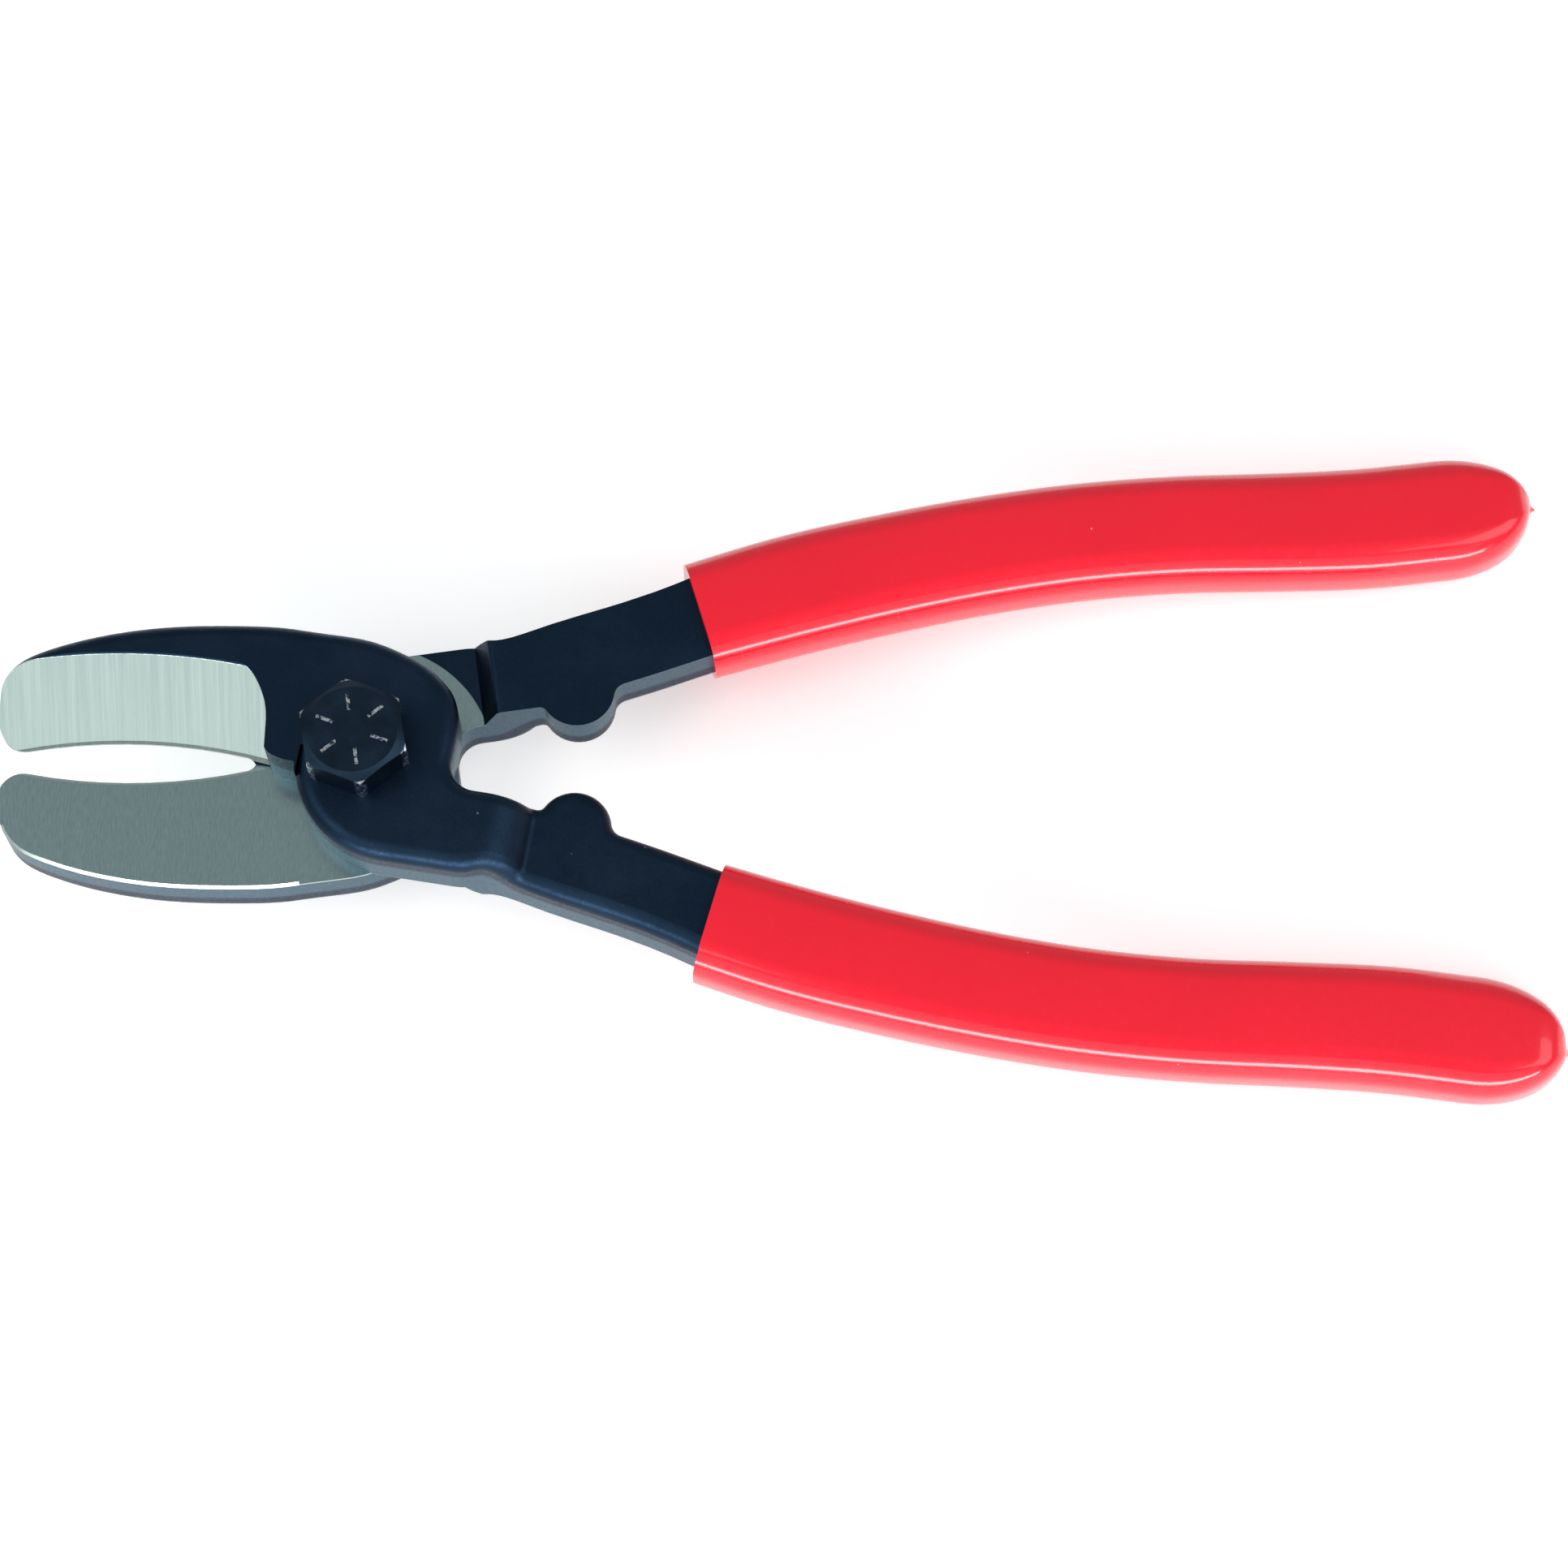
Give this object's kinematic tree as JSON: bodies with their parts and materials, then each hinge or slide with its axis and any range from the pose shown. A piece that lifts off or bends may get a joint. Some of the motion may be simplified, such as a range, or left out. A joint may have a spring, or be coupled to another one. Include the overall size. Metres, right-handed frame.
{
  "type": "cable cutter",
  "caption": "Shear-type cable cutter: crossed black-oxide levers on a hexagon bolt, hollow ground jaws, stop bumps, and dipped red vinyl grips.",
  "frame": {"origin": "on the pivot bolt's axis, in the plane where the two levers meet", "axes": "+X along the centreline from the jaws to the handles, +Y across the tool, +Z along the bolt to its head"},
  "size_m": [0.2251, 0.0992, 0.0347],
  "materials": {
    "lever_steel": "black oxide, ground bright on the bevel and the mating face",
    "grip_vinyl": "glossy dipped vinyl",
    "bolt_steel": "black oxide",
    "hardware_steel": "black oxide",
    "insert_nylon": "matt"
  },
  "bodies": {
    "rear": {"rear_lever": "lever_steel", "rear_grip": "grip_vinyl"},
    "front": {"front_lever": "lever_steel", "front_grip": "grip_vinyl", "pivot_bolt": "bolt_steel", "pivot_washer": "hardware_steel", "lock_nut": "hardware_steel", "lock_nut_insert": "insert_nylon"}
  },
  "joints": [
    {"name": "jaw_pivot", "type": "hinge", "parent": "rear", "child": "front", "pos_m": [0, 0, 0], "axis": [0, 0, -1], "range_deg": [-17.5, 72]}
  ]
}
